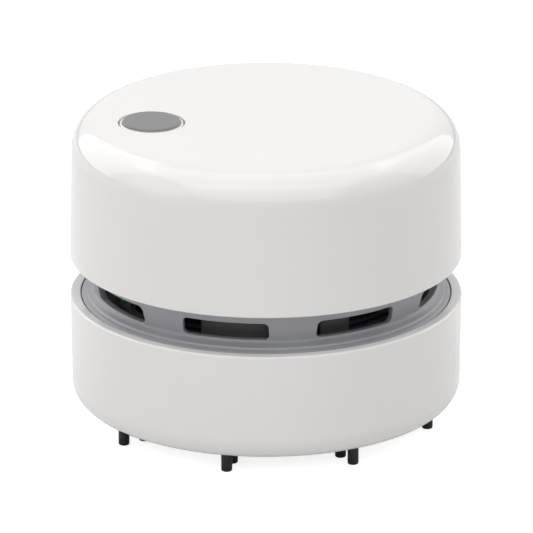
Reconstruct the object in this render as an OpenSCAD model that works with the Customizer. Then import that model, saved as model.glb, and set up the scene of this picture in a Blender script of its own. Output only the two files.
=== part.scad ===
// Desktop mini vacuum cleaner: a white dust cup on bristle pins, a grey slotted exhaust ring,
// and a white cap over the motor, the two cells and the push button.
// Millimetres. The axis is Z, the pin tips stand at z = 0 and the button lies towards -X.

/* [Body] */
// Outer diameter of the dust cup and of the upper shell at their rims
body_d = 85; // [80:0.5:92]
// How much smaller the radius gets from the rim to the far end of each wall
draft = 0.35; // [0.1:0.05:0.8]

/* [Dust cup] */
// Height of the dust cup
cup_h = 24.4; // [24:0.2:32]
// Wall of the dust cup below its rim
cup_wall = 2.9; // [2.4:0.1:3.6]
// Wall of the dust cup at the rim, outside the ring's flange
rim_wall = 2.25; // [1.8:0.05:2.3]
// Floor of the dust cup
cup_floor = 2; // [1.8:0.1:3]
// Radius of the outer bottom edge
cup_fillet = 5.2; // [3:0.1:6]
// Bore of the suction inlet
inlet_d = 22; // [14:0.5:28]
// Wall of the inlet chimney
chimney_wall = 1.8; // [1.2:0.1:2.6]
// Ribs inside the cup that carry the filter
filter_ribs = 8; // [4:1:12]

/* [Bristle pins] */
// Diameter of a pin
pin_d = 2.4; // [1.6:0.1:2.8]
// Length of a pin below the cup
pin_length = 4.2; // [3:0.1:7]
// Depth of the socket that holds a pin
pin_socket = 1.2; // [0.8:0.1:1.4]
// Radial rows of pins
pin_rows = 8; // [6:1:10]
// Distance from the body's edge to the outermost pin
pin_inset = 6.5; // [6.5:0.1:8]
// Distance between the pins of a row
pin_pitch = 5.15; // [4:0.05:5.5]

/* [Filter] */
// Height of the filter's frame
frame_h = 2; // [1.4:0.1:3]
// Width of the frame's outer band
frame_band = 2.5; // [1.8:0.1:4]
// Thickness of the mesh disc
mesh_t = 0.4; // [0.3:0.05:0.8]
// Spokes of the frame
frame_spokes = 6; // [3:1:10]
// Height of the rubber seal
seal_h = 2; // [1.2:0.1:3]

/* [Exhaust ring] */
// Open height between the cup's rim and the upper shell
gap_h = 8.8; // [8.4:0.1:12]
// Depth that the spigot reaches into the cup
spigot_depth = 7.6; // [7:0.1:9]
// Thickness of the flange that sits in the cup's rim
flange_t = 2; // [1.6:0.1:2.4]
// Distance from the flange's edge to the foot of the slotted wall
ring_recess = 2.7; // [2.4:0.1:3.4]
// How far the slotted wall leans out towards its top
ring_lean = 2.2; // [1.2:0.1:2.2]
// Thickness of the slotted wall
ring_wall = 1.6; // [1.2:0.1:1.8]
// Height of the bead inside the flange
bead_h = 0.8; // [0.4:0.05:1.2]
// Number of exhaust slots
slot_count = 8; // [8:8:8]
// Length of a slot
slot_w = 18.9; // [12:0.1:19.5]
// Height of a slot
slot_h = 4; // [2.5:0.1:5]
// Height of a slot's lower edge above the cup's rim
slot_lift = 2.1; // [2:0.1:3]
// Radius of a slot's corners
slot_corner = 1.1; // [0.4:0.1:1.2]

/* [Bayonet] */
// Number of lugs in the cup
lug_count = 4; // [2:1:5]
// Width of a lug, measured as an angle
lug_angle = 6; // [4:0.5:10]
// Height of a lug
lug_h = 1.6; // [1.2:0.1:2]
// Depth of a lug
lug_depth = 1.1; // [0.8:0.1:1.4]
// Turn from the open to the locked position
lock_turn = 18; // [10:1:24]

/* [Fan] */
// Number of impeller blades
blade_count = 9; // [5:1:11]
// Height of a blade
blade_h = 4; // [3:0.1:4.4]
// Thickness of a blade
blade_t = 1.1; // [0.8:0.1:1.6]
// Diameter of the impeller's eye and of the hole in the fan cover
eye_d = 26; // [20:0.5:30]
// Wall of the fan housing
housing_wall = 1.2; // [1:0.1:1.6]
// Thickness of the fan cover
cover_t = 1.2; // [1:0.1:1.4]

/* [Motor] */
// Diameter of the motor can
motor_d = 24; // [20:0.1:24.4]
// Room between the motor can and the ceiling of the upper shell
motor_headroom = 5.4; // [4.8:0.1:8.4]
// Wall of the motor can
can_wall = 0.9; // [0.6:0.05:1.2]
// Diameter of the motor shaft
shaft_d = 2; // [1.5:0.1:2.3]

/* [Batteries] */
// Diameter of a cell
cell_d = 14.5; // [13.5:0.1:14.5]
// Length of a cell over its terminal
cell_l = 50.5; // [48:0.1:50.5]
// Distance between the axes of the two cells
cell_spacing = 40; // [39.6:0.1:40.6]

/* [Chassis] */
// Thickness of the chassis plate
plate_t = 1.8; // [1.4:0.1:2.2]
// Radial gap between the chassis plate and the upper shell
chassis_gap = 0.6; // [0.4:0.05:0.8]
// Width of the circuit board
board_w = 21; // [20:0.1:23]
// Thickness of the circuit board
board_t = 1; // [0.8:0.1:1.6]

/* [Upper shell] */
// Height of the upper shell
shell_h = 31.2; // [31:0.1:36]
// Wall of the upper shell
shell_wall = 2; // [1.6:0.1:2.2]
// Radius of the outer top edge
top_fillet = 7.15; // [4:0.05:8]

/* [Button] */
// Diameter of the button
button_d = 14; // [11:0.1:15]
// Gap around the button
button_gap = 0.25; // [0.15:0.05:0.4]
// Distance from the body's edge to the middle of the button
button_inset = 17.5; // [16.5:0.1:18.5]
// Diameter of the grey inlay
inlay_d = 12.7; // [9:0.1:13]
// How far the inlay stands above the upper shell
inlay_rise = 0.4; // [0:0.05:0.6]
// Travel of the button
button_travel = 1.5; // [0.8:0.1:1.6]

/* [Hidden] */
$fn = 96;
arc_steps = 14;
eps = 0.01;

// Clearances
flange_gap = 0.25;
spigot_gap = 0.3;
lug_gap = 0.3;
filter_gap = 0.4;
part_gap = 0.33;
seat_gap = 0.2;
tip_gap = 1.2;
press_fit = 0.02;
running_fit = 0.03;
plunger_fit = 0.08;
cell_fit = 0.05;
contact_play = 0.1;

// Levels, from the table upwards
cup_z = pin_length;
floor_z = cup_z + cup_floor;
rim_z = cup_z + cup_h;
shell_z = rim_z + gap_h;
top_z = shell_z + shell_h;
ledge_z = rim_z - flange_t;
spigot_z = rim_z - spigot_depth;
frame_top_z = spigot_z - seal_h;
rib_top_z = frame_top_z - frame_h;
mesh_z = rib_top_z - mesh_t;
chimney_top_z = mesh_z - 2.6;
lug_z = spigot_z + 2;
ring_top_z = shell_z + 2;
plate_z = ring_top_z + plate_t;
cover_z = ledge_z + 0.4;
housing_z = cover_z + cover_t;
housing_top_z = ring_top_z - housing_wall;

// Radii, from the body inwards
body_r = body_d / 2;
cup_in_r = body_r - cup_wall;
rim_in_r = body_r - rim_wall;
flange_r = rim_in_r - flange_gap;
spigot_r = cup_in_r - spigot_gap;
lug_tip_r = cup_in_r - lug_depth;
groove_r = lug_tip_r - lug_gap;
filter_r = lug_tip_r - filter_gap;
foot_r = flange_r - ring_recess;
ring_in_r = foot_r - ring_wall;
ring_top_r = foot_r + ring_lean;
ring_top_in_r = ring_top_r - ring_wall;
cover_r = ring_in_r - seat_gap;
cover_seat_r = cover_r - 1.3;
housing_r = cover_seat_r - 1.4;
housing_in_r = housing_r - housing_wall;
impeller_r = housing_in_r - tip_gap;
shell_in_r = body_r - shell_wall;
plate_r = shell_in_r - chassis_gap;
chimney_r = inlet_d / 2 + chimney_wall;
eye_r = eye_d / 2;

// Turn of the slots and pin rows against the button
row_turn = 22.5;

// Ring
foot_z = rim_z + 1.9;
boss_r = 2.2;
boss_at_r = housing_r + part_gap + boss_r;
boss_z = housing_z + 0.5;
screw_turn = 45;

// Impeller
shroud_t = 0.8;
disc_t = 1.2;
impeller_z = housing_z + 1.3;
blade_z = impeller_z + shroud_t;
disc_z = blade_z + blade_h;
impeller_top_z = disc_z + disc_t;
hub_r = 4;
blade_sweep_d = 17;
blade_sweep_r = 20;

// Motor
motor_r = motor_d / 2;
shaft_r = shaft_d / 2;
can_in_r = motor_r - can_wall;
can_top_z = top_z - shell_wall - motor_headroom;
motor_h = can_top_z - plate_z;
bush_r = shaft_r + 1;
boss_hole_r = bush_r + 1.2;
motor_boss_r = boss_hole_r - 0.1;
motor_screw_at = 8.5;
motor_screw_r = 1.2;
screw_head_r = 1.9;
screw_head_h = 1.2;
terminal_at = 7;
terminal_w = 2.9;
terminal_t = 0.5;
terminal_rise = 2.6;
end_cap_t = 1.2;
end_boss_h = 1.2;
shaft_top_z = can_top_z + end_cap_t + end_boss_h - 0.3;

// Cells
cell_r = cell_d / 2;
cell_x = cell_spacing / 2;
cell_z = plate_z + 0.75 + cell_r;
nub_h = 1;
nub_r = 2.75;
cell_end_y = cell_l / 2;
contact_t = 0.4;
contact_w = 8;
contact_h = 9;
contact_bump_r = 2.2;
contact_gap = 1.95;
contact_y = cell_end_y + contact_gap;
end_wall_t = 1.6;
spring_wire = 0.6;
spring_turns = 3.5;

// Board and switch
board_x = housing_r - 0.8;
board_z = plate_z + 2.8;
tab_z = rim_z + 4.8;
tab_y = sqrt(pow(housing_r + part_gap, 2) - pow(board_x, 2));
switch_z = cell_z + cell_r + 0.75;
switch_w = 8;
switch_reach = 4;

// Button
button_offset = body_r - button_inset;
button_r = button_d / 2;
hole_r = button_r + button_gap;
collar_r = hole_r + 1.4;
flange_h = 0.8;
button_flange_r = hole_r + 0.95;
collar_z = top_z - 4.2;
button_z = collar_z - flange_h;
plunger_r = 1.6;
switch_top_z = button_z - button_travel - 0.5;
board_top_z = switch_top_z;
cap_top_z = top_z - 0.15;
inlay_z = cap_top_z - 0.7;
inlay_top_z = top_z + inlay_rise;

module dust_cup() {
    wall_r = body_r - draft;
    edge = 0.5;
    inner_fillet = cup_fillet - 2.2;
    color("white") difference() {
        union() {
            rotate_extrude() polygon(concat(
                [[inlet_d / 2 + 0.6, cup_z]],
                arc(wall_r - cup_fillet, cup_z + cup_fillet, cup_fillet, -90, 0, arc_steps),
                arc(body_r - edge, rim_z - edge, edge, 0, 90, 4),
                [[rim_in_r, rim_z], [rim_in_r, ledge_z], [cup_in_r, ledge_z]],
                arc(cup_in_r - inner_fillet, floor_z + inner_fillet, inner_fillet, 0, -90, 8),
                [[chimney_r, floor_z], [chimney_r, chimney_top_z],
                 [inlet_d / 2, chimney_top_z], [inlet_d / 2, cup_z + 0.6]]
            ));
            spread(filter_ribs, row_turn)
                translate([filter_r - 1.6, -0.7, floor_z - 0.5])
                    cube([cup_in_r - filter_r + 2.1, 1.4, rib_top_z - floor_z + 0.5]);
            spread(lug_count, 0) rotate([0, 0, -lug_angle / 2])
                rotate_extrude(angle = lug_angle) translate([lug_tip_r, lug_z])
                    square([lug_depth + 0.5, lug_h]);
        }
        for (ring = [0 : 2])
            pin_places(ring) translate([0, 0, cup_z - 1])
                cylinder(r = pin_d / 2 + press_fit, h = pin_socket + 1);
    }
}

module pins(ring) {
    tip = 0.3;
    color("black") pin_places(ring) {
        cylinder(r1 = pin_d / 2 - tip, r2 = pin_d / 2, h = tip);
        translate([0, 0, tip]) cylinder(r = pin_d / 2, h = cup_z + pin_socket - tip);
    }
}

module pins_outer() pins(0);

module pins_middle() pins(1);

module pins_inner() pins(2);

module filter_mesh() {
    color("dimgray") translate([0, 0, mesh_z])
        cylinder(r = filter_r - 1.9, h = mesh_t);
}

module filter_frame() {
    spoke_w = 1.6;
    knob_h = 3;
    color("whitesmoke") union() {
        tube(filter_r, filter_r - frame_band, rib_top_z, frame_top_z);
        intersection() {
            spread(frame_spokes, 0) translate([0, -spoke_w / 2, rib_top_z])
                cube([filter_r - 1, spoke_w, frame_h - 0.4]);
            translate([0, 0, rib_top_z - 1]) cylinder(r = filter_r - 0.5, h = frame_h + 2);
        }
        translate([0, 0, rib_top_z]) cylinder(r = 5, h = frame_h);
        translate([0, 0, rib_top_z]) cylinder(r = 2.6, h = frame_h + knob_h - 1);
        translate([0, 0, frame_top_z + knob_h - 1]) cylinder(r = 3.6, h = 1);
    }
}

module cup_seal() {
    lip = 0.5;
    color("dimgray") rotate_extrude() polygon([
        [filter_r - 1.9, frame_top_z], [filter_r - 0.1, frame_top_z],
        [filter_r - 0.1, frame_top_z + lip], [filter_r - lip, frame_top_z + seal_h / 2],
        [filter_r - 0.1, spigot_z - lip], [filter_r - 0.1, spigot_z], [filter_r - 1.9, spigot_z]
    ]);
}

module exhaust_ring() {
    bead_r = flange_r - 1.4;
    seat_in_r = cover_seat_r;
    color("slategray") difference() {
        union() {
            rotate_extrude() polygon(concat(
                [[ring_in_r, spigot_z], [spigot_r, spigot_z], [spigot_r, ledge_z],
                 [flange_r, ledge_z], [flange_r, rim_z - 0.3], [flange_r - 0.2, rim_z]],
                bead_points(bead_r),
                [[ring_top_r, ring_top_z], [ring_top_in_r, ring_top_z], [ring_in_r, foot_z],
                 [ring_in_r, cover_z], [seat_in_r, cover_z], [seat_in_r, cover_z - 0.8],
                 [ring_in_r, cover_z - 0.8 - (ring_in_r - seat_in_r)]]
            ));
            intersection() {
                spread(4, screw_turn) translate([boss_at_r, 0, boss_z])
                    cylinder(r = boss_r, h = ring_top_z - boss_z);
                translate([0, 0, boss_z]) cylinder(
                    r1 = ring_in_r + 0.5, r2 = ring_top_in_r + 0.5, h = ring_top_z - boss_z);
            }
        }
        spread(slot_count, row_turn) translate([foot_r - 6, 0, rim_z + slot_lift])
            rotate([90, 0, 90]) linear_extrude(12)
                polygon(rounded_box(slot_w, slot_h, slot_corner, 5));
        spread(4, screw_turn) translate([boss_at_r, 0, ring_top_z - 7])
            cylinder(r = 1, h = 8);
        spread(lug_count, 0) bayonet_groove();
    }
}

module bayonet_groove() {
    // The entry leg opens downwards and runs into the locking leg, which is a little wider and shallower
    side = lug_angle / 2 + 1;
    depth = spigot_r - groove_r + 1;
    rotate([0, 0, -side]) rotate_extrude(angle = 2 * side)
        translate([groove_r - 0.1, spigot_z - 1]) square([depth, lug_z + lug_h / 2 - spigot_z + 1]);
    rotate([0, 0, -side - lock_turn]) rotate_extrude(angle = 2 * side + lock_turn + 0.6)
        translate([groove_r, lug_z - lug_gap]) square([depth, lug_h + 2 * lug_gap]);
}

module fan_cover() {
    guard_w = 1.2;
    color("dimgray") difference() {
        union() {
            tube(cover_r, eye_r, cover_z, housing_z);
            intersection() {
                spread(6, 30) translate([0, -guard_w / 2, cover_z])
                    cube([eye_r + 1, guard_w, cover_t]);
                translate([0, 0, cover_z]) cylinder(r = eye_r + 0.5, h = cover_t);
            }
            tube(eye_r * 0.6 + guard_w, eye_r * 0.6, cover_z, housing_z);
            translate([0, 0, cover_z]) cylinder(r = 3, h = cover_t);
        }
        spread(4, screw_turn) translate([boss_at_r, 0, cover_z - 1])
            cylinder(r = boss_r + 0.3, h = cover_t + 2);
    }
}

module fan_housing() {
    // Each window in the housing's wall: where it starts and how far it turns, in degrees
    windows = [[15, 37], [98, 22], [146, 14], [198, 38], [265, 17], [294, 47]];
    sill = 1.2;
    color([0.27, 0.28, 0.29]) difference() {
        union() {
            tube(housing_r, housing_in_r, housing_z, housing_top_z + eps);
            tube(housing_r, motor_screw_at + 2.5, housing_top_z, ring_top_z);
        }
        for (window = windows)
            rotate([0, 0, window[0]]) rotate_extrude(angle = window[1])
                translate([housing_in_r - 1, housing_z + sill])
                    square([housing_wall + 2, housing_top_z - housing_z - sill - 0.6]);
    }
}

module impeller() {
    color([0.16, 0.16, 0.17]) difference() {
        union() {
            tube(impeller_r, eye_r + 0.5, impeller_z, blade_z + eps);
            translate([0, 0, disc_z]) cylinder(r = impeller_r, h = disc_t);
            translate([0, 0, impeller_z]) cylinder(r = hub_r, h = disc_z - impeller_z + eps);
            spread(blade_count, 0) translate([0, 0, blade_z - eps])
                linear_extrude(blade_h + 2 * eps) blade_outline();
        }
        translate([0, 0, impeller_z - 1])
            cylinder(r = shaft_r + press_fit, h = impeller_top_z - impeller_z + 2);
    }
}

module blade_outline() {
    intersection() {
        translate([blade_sweep_d, 0]) difference() {
            circle(r = blade_sweep_r + blade_t / 2);
            circle(r = blade_sweep_r - blade_t / 2);
        }
        difference() {
            circle(r = impeller_r - 0.4);
            circle(r = eye_r + 1);
        }
        translate([-5, 2]) square([impeller_r + 5, impeller_r]);
    }
}

module motor_shaft() {
    color("silver") translate([0, 0, impeller_z + 0.4])
        cylinder(r = shaft_r, h = shaft_top_z - impeller_z - 0.4);
}

module armature() {
    core_r = can_in_r - 3;
    core_z = plate_z + 5;
    core_h = motor_h - 10;
    color("peru") difference() {
        union() {
            translate([0, 0, core_z]) cylinder(r = core_r, h = core_h);
            translate([0, 0, core_z - 1.4]) cylinder(r = core_r * 0.72, h = core_h + 2.8);
            translate([0, 0, core_z]) cylinder(r = shaft_r + 1.8, h = core_h + 3.6);
        }
        spread(3, 0) translate([core_r * 0.72, -0.9, core_z - 2]) cube([core_r, 1.8, core_h + 4]);
        translate([0, 0, core_z - 2]) cylinder(r = shaft_r + press_fit, h = core_h + 8);
    }
}

module motor_magnets() {
    magnet_t = 2.2;
    arc_angle = 110;
    color("dimgray") for (side = [0, 180])
        rotate([0, 0, side - arc_angle / 2]) rotate_extrude(angle = arc_angle)
            translate([can_in_r - magnet_t, plate_z + 3]) square([magnet_t - eps, motor_h - 7]);
}

module front_bush() {
    color("goldenrod") tube(bush_r, shaft_r + running_fit, plate_z - 1.5, plate_z + can_wall + 1.2);
}

module rear_bush() {
    color("goldenrod") tube(bush_r, shaft_r + running_fit, can_top_z - 0.6, can_top_z + end_cap_t + 0.8);
}

module motor_can() {
    color("lightgray") difference() {
        union() {
            tube(motor_r, can_in_r, plate_z, can_top_z);
            translate([0, 0, plate_z]) cylinder(r = motor_r - 0.4, h = can_wall);
            translate([0, 0, plate_z - 1.5]) cylinder(r = motor_boss_r, h = 1.5 + can_wall);
        }
        translate([0, 0, plate_z - 3]) cylinder(r = bush_r + press_fit, h = 6);
        spread(2, 90) translate([motor_screw_at, 0, plate_z - 1])
            cylinder(r = motor_screw_r + 0.05, h = can_wall + 2);
    }
}

module motor_end_cap() {
    color("ivory") difference() {
        union() {
            translate([0, 0, can_top_z - 1.2]) cylinder(r = can_in_r - press_fit, h = 1.2 + eps);
            translate([0, 0, can_top_z]) cylinder(r = motor_r, h = end_cap_t);
            translate([0, 0, can_top_z]) cylinder(r = bush_r + 1.2, h = end_cap_t + end_boss_h);
        }
        translate([0, 0, can_top_z - 2])
            cylinder(r = bush_r + press_fit, h = end_cap_t + 2.8);
        translate([0, 0, can_top_z]) cylinder(r = shaft_r + 0.3, h = 5);
        spread(2, 90) translate([terminal_at, -terminal_w / 2 - 0.05, can_top_z - 2])
            cube([terminal_t + 0.1, terminal_w + 0.1, end_cap_t + 4]);
    }
}

module motor_terminals() {
    color("gold") spread(2, 90)
        translate([terminal_at + press_fit, -terminal_w / 2, can_top_z - end_cap_t])
            cube([terminal_t, terminal_w, end_cap_t + terminal_rise]);
}

module motor_screws() {
    color("silver") spread(2, 90) translate([motor_screw_at, 0, 0]) {
        translate([0, 0, ring_top_z - screw_head_h]) cylinder(r = screw_head_r, h = screw_head_h);
        translate([0, 0, ring_top_z - eps])
            cylinder(r = motor_screw_r, h = plate_t + can_wall + eps);
    }
}

module chassis() {
    rail_w = board_w + 4;
    color("gainsboro") difference() {
        union() {
            translate([0, 0, ring_top_z]) cylinder(r = plate_r, h = plate_t);
            for (side = [-1, 1]) {
                for (place = [-1, 1])
                    translate([side * cell_x - 6, place * cell_end_y * 0.55 - 1, plate_z - eps])
                        cube([12, 2, cell_r * 0.75]);
                for (end = [-1, 1])
                    translate([side * cell_x - 5.5,
                               end * (contact_y + contact_t + end_wall_t / 2) - end_wall_t / 2,
                               plate_z - eps])
                        cube([11, end_wall_t, cell_r + 5.5]);
            }
            translate([-board_x - board_t - 1.6, -rail_w / 2, plate_z - eps])
                cube([board_t + 3.2, rail_w, 4.6]);
            tube(motor_r + 1.4, motor_r + 0.2, plate_z - eps, plate_z + 1.4);
        }
        for (side = [-1, 1])
            translate([side * cell_x, cell_end_y, cell_z]) rotate([90, 0, 0])
                cylinder(r = cell_r + cell_fit, h = 2 * cell_end_y);
        translate([-board_x - board_t - 0.05, -board_w / 2 - 0.1, board_z])
            cube([board_t + 0.1, board_w + 0.2, 5]);
        translate([-board_x - board_t - 0.05, -board_w / 2 - 0.1, ring_top_z - 1])
            cube([board_t + 0.1, board_w / 2 - tab_y + 0.2, 10]);
        translate([0, 0, ring_top_z - 1]) cylinder(r = boss_hole_r, h = plate_t + 2);
        spread(2, 90) translate([motor_screw_at, 0, ring_top_z - 1])
            cylinder(r = motor_screw_r + 0.1, h = plate_t + 2);
        spread(4, screw_turn) translate([boss_at_r, 0, ring_top_z - 1])
            cylinder(r = 1.05, h = plate_t + 2);
    }
}

module chassis_screws() {
    cross_l = 2.4;
    cross_w = 0.4;
    color("silver") spread(4, screw_turn) translate([boss_at_r, 0, 0]) difference() {
        union() {
            translate([0, 0, plate_z]) cylinder(r = screw_head_r, h = screw_head_h);
            translate([0, 0, ring_top_z - 6]) cylinder(r = 0.95, h = plate_t + 6 + eps);
        }
        for (turn = [0, 90]) rotate([0, 0, turn])
            translate([-cross_l / 2, -cross_w / 2, plate_z + screw_head_h - 0.4])
                cube([cross_l, cross_w, 1]);
    }
}

module cell(side) {
    can_l = cell_l - nub_h;
    color("darkseagreen") translate([side * cell_x, side * cell_end_y, cell_z])
        rotate([side * 90, 0, 0]) rotate_extrude() polygon([
            [0, 0], [nub_r, 0], [nub_r, nub_h], [cell_r - 0.7, nub_h],
            [cell_r, nub_h + 0.7], [cell_r, nub_h + can_l - 0.5],
            [cell_r - 0.5, nub_h + can_l], [0, nub_h + can_l]
        ]);
}

module cell_left() cell(-1);

module cell_right() cell(1);

module battery_contacts() {
    color("silver") for (side = [-1, 1]) {
        for (end = [-1, 1])
            translate([side * cell_x - contact_w / 2,
                       end * (contact_y + contact_t / 2) - contact_t / 2,
                       cell_z - contact_h / 2])
                cube([contact_w, contact_t, contact_h]);
        translate([side * cell_x, side * (contact_y + eps), cell_z]) rotate([side * 90, 0, 0])
            cylinder(r = contact_bump_r, h = contact_gap - contact_play + eps);
    }
}

module battery_springs() {
    // A conical coil: its radius shrinks and its height grows steadily with the turn
    sides = 6;
    rings_per_turn = 14;
    steps = floor(spring_turns * rings_per_turn);
    big_r = 4.2;
    small_r = 1.6;
    span = contact_gap - spring_wire - contact_play;
    points = [for (i = [0 : steps]) for (k = [0 : sides - 1])
        let (turn = 360 * spring_turns * i / steps, around = 360 * k / sides,
             r = big_r + (small_r - big_r) * i / steps + spring_wire / 2 * cos(around))
        [r * cos(turn), r * sin(turn),
         spring_wire / 2 + span * i / steps + spring_wire / 2 * sin(around)]];
    sides_faces = [for (i = [0 : steps - 1]) for (k = [0 : sides - 1]) each
        let (a = i * sides + k, b = i * sides + (k + 1) % sides)
        [[a, a + sides, b + sides], [a, b + sides, b]]];
    caps = [[for (k = [0 : sides - 1]) k],
            [for (k = [sides - 1 : -1 : 0]) steps * sides + k]];
    turn_gap = norm([(big_r - small_r) / spring_turns, span / spring_turns]) - spring_wire;
    echo(least_gap_between_spring_turns = turn_gap);
    color("silver") for (side = [-1, 1])
        translate([side * cell_x, -side * contact_y, cell_z]) rotate([-side * 90, 0, 0])
            polyhedron(points = points, faces = concat(sides_faces, caps));
}

module circuit_board() {
    color("green") translate([-board_x - board_t, 0, 0]) union() {
        translate([0, -board_w / 2, board_z])
            cube([board_t, board_w, board_top_z - board_z]);
        translate([0, -board_w / 2, tab_z])
            cube([board_t, board_w / 2 - tab_y, board_z - tab_z + eps]);
    }
}

module switch_body() {
    color("dimgray") difference() {
        translate([-board_x, -switch_w / 2, switch_z])
            cube([board_x - button_offset + switch_reach, switch_w, switch_top_z - switch_z]);
        translate([-button_offset, 0, switch_top_z - 3.1])
            cylinder(r = plunger_r + plunger_fit, h = 5);
    }
}

module switch_plunger() {
    buried = 1.3;
    color("orangered") translate([-button_offset, 0, switch_top_z - buried])
        cylinder(r = plunger_r, h = button_z - switch_top_z + buried);
}

module upper_shell() {
    wall_r = body_r - draft;
    fillet_r = wall_r - top_fillet;
    fillet_z = top_z - top_fillet;
    edge = 0.4;
    color("white") difference() {
        union() {
            rotate_extrude() polygon(concat(
                [[0, top_z - shell_wall]],
                arc(fillet_r, fillet_z, top_fillet - shell_wall, 90, 0, 8),
                [[shell_in_r, shell_z]],
                arc(body_r - edge, shell_z + edge, edge, -90, 0, 4),
                arc(fillet_r, fillet_z, top_fillet, 0, 90, arc_steps),
                [[0, top_z]]
            ));
            spread(6, 0) translate([plate_r - 1, -0.7, plate_z])
                cube([1.5 + chassis_gap, 1.4, fillet_z - plate_z - 3]);
            translate([-button_offset, 0, collar_z])
                cylinder(r = collar_r, h = top_z - shell_wall / 2 - collar_z);
        }
        translate([-button_offset, 0, collar_z - 1]) cylinder(r = hole_r, h = top_z - collar_z + 2);
    }
}

module button_cap() {
    edge = 0.4;
    color("white") translate([-button_offset, 0, 0]) difference() {
        rotate_extrude() polygon(concat(
            [[0, button_z], [button_flange_r, button_z], [button_flange_r, collar_z],
             [button_r, collar_z]],
            arc(button_r - edge, cap_top_z - edge, edge, 0, 90, 5),
            [[0, cap_top_z]]
        ));
        translate([0, 0, inlay_z]) cylinder(d = inlay_d + 0.1, h = 2);
        tube(button_r - 1.2, 2, button_z - 1, inlay_z - 1.2);
    }
}

module button_inlay() {
    edge = 0.15;
    color("silver") translate([-button_offset, 0, 0]) rotate_extrude() polygon(concat(
        [[0, inlay_z], [inlay_d / 2, inlay_z]],
        arc(inlay_d / 2 - edge, inlay_top_z - edge, edge, 0, 90, 4),
        [[0, inlay_top_z]]
    ));
}

// Copies the children in count places around the Z axis, the first one at the angle start
module spread(count, start) {
    for (i = [0 : count - 1]) rotate([0, 0, start + i * 360 / count]) children();
}

module tube(outer_r, inner_r, low_z, high_z) {
    translate([0, 0, low_z]) difference() {
        cylinder(r = outer_r, h = high_z - low_z);
        translate([0, 0, -1]) cylinder(r = inner_r, h = high_z - low_z + 2);
    }
}

module pin_places(ring) {
    spread(pin_rows, row_turn) translate([body_r - pin_inset - ring * pin_pitch, 0, 0]) children();
}

// Points of an arc about a centre, from one angle to another
function arc(x, y, r, from, to, steps) =
    [for (i = [0 : steps]) let (a = from + (to - from) * i / steps) [x + r * cos(a), y + r * sin(a)]];

// Outline of a box with rounded corners, its lower edge at y = 0
function rounded_box(w, h, r, steps) = concat(
    arc(w / 2 - r, r, r, -90, 0, steps),
    arc(w / 2 - r, h - r, r, 0, 90, steps),
    arc(-w / 2 + r, h - r, r, 90, 180, steps),
    arc(-w / 2 + r, r, r, 180, 270, steps)
);

// The ring's outer profile from the flange over the bead and through the cove to the wall's foot
function bead_points(crest_r) = concat(
    [for (i = [1 : 6]) let (t = i / 6)
        [flange_r - 0.2 + (crest_r - flange_r + 0.2) * t, rim_z + bead_h * sin(90 * t)]],
    [for (i = [1 : 6]) let (t = i / 6)
        [crest_r + (foot_r - crest_r) * sin(90 * t),
         rim_z + bead_h + (foot_z - rim_z - bead_h) * (1 - cos(90 * t))]]
);

dust_cup();
pins_outer();
pins_middle();
pins_inner();
filter_mesh();
filter_frame();
cup_seal();
exhaust_ring();
fan_cover();
fan_housing();
impeller();
motor_shaft();
armature();
motor_magnets();
front_bush();
rear_bush();
motor_can();
motor_end_cap();
motor_terminals();
motor_screws();
chassis();
chassis_screws();
cell_left();
cell_right();
battery_contacts();
battery_springs();
circuit_board();
switch_body();
switch_plunger();
upper_shell();
button_cap();
button_inlay();
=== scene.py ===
import math

import bpy
import numpy as np
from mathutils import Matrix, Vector


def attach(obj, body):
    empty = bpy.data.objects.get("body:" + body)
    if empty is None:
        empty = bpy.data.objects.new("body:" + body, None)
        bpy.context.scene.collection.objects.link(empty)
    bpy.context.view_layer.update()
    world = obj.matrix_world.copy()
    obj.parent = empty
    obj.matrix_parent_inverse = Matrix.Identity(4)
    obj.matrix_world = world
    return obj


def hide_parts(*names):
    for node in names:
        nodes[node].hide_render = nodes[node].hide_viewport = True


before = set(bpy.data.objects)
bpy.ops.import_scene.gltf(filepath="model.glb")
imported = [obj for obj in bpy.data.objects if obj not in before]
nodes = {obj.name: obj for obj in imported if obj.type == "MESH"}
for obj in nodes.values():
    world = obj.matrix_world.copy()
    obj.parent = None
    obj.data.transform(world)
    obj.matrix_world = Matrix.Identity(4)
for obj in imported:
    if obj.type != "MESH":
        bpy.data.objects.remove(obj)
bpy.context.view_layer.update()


# ---------------------------------------------------------------------------
# Dust cup
# A white injection-moulded ABS cup. Its floor carries the inlet chimney and the bristle pins, eight
# low ribs inside hold the filter, and four lugs take the bayonet of the ring above.

def rounded(corners, steps=8, support=0.06):
    """Outline from corners (across, up, radius). At each corner an arc of that radius touches both
    neighbouring sides, and one more point stands a little before and after it, so that the flat
    sides keep their own normals."""
    corners = np.array(corners, float)
    place, radius = corners[:, :2], corners[:, 2:3]
    back = np.roll(place, 1, 0) - place
    on = np.roll(place, -1, 0) - place
    back /= np.linalg.norm(back, axis=1, keepdims=True)
    on /= np.linalg.norm(on, axis=1, keepdims=True)
    half = np.arccos(np.clip((back * on).sum(1, keepdims=True), -1, 1)) / 2
    middle = back + on
    size = np.linalg.norm(middle, axis=1, keepdims=True)
    middle = np.where(size > 1e-9, middle / np.maximum(size, 1e-9), np.stack([-on[:, 1], on[:, 0]], 1))
    centre = place + middle * radius / np.sin(half)
    reach = radius / np.tan(half)
    start, end = place + back * reach - centre, place + on * reach - centre
    turn = np.pi - 2 * half
    t = np.linspace(0, 1, steps + 1)[None, :, None]
    turn = np.maximum(turn, 1e-6)[:, :, None]
    arcs = (np.sin((1 - t) * turn) * start[:, None] + np.sin(t * turn) * end[:, None]) / np.sin(turn)
    arcs = arcs + centre[:, None]
    gap = np.where(radius > 0, support, 0)
    before = (place + back * (reach + gap))[:, None]
    after = (place + on * (reach + gap))[:, None]
    return np.concatenate([before, arcs, after], 1).reshape(-1, 2)


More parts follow.
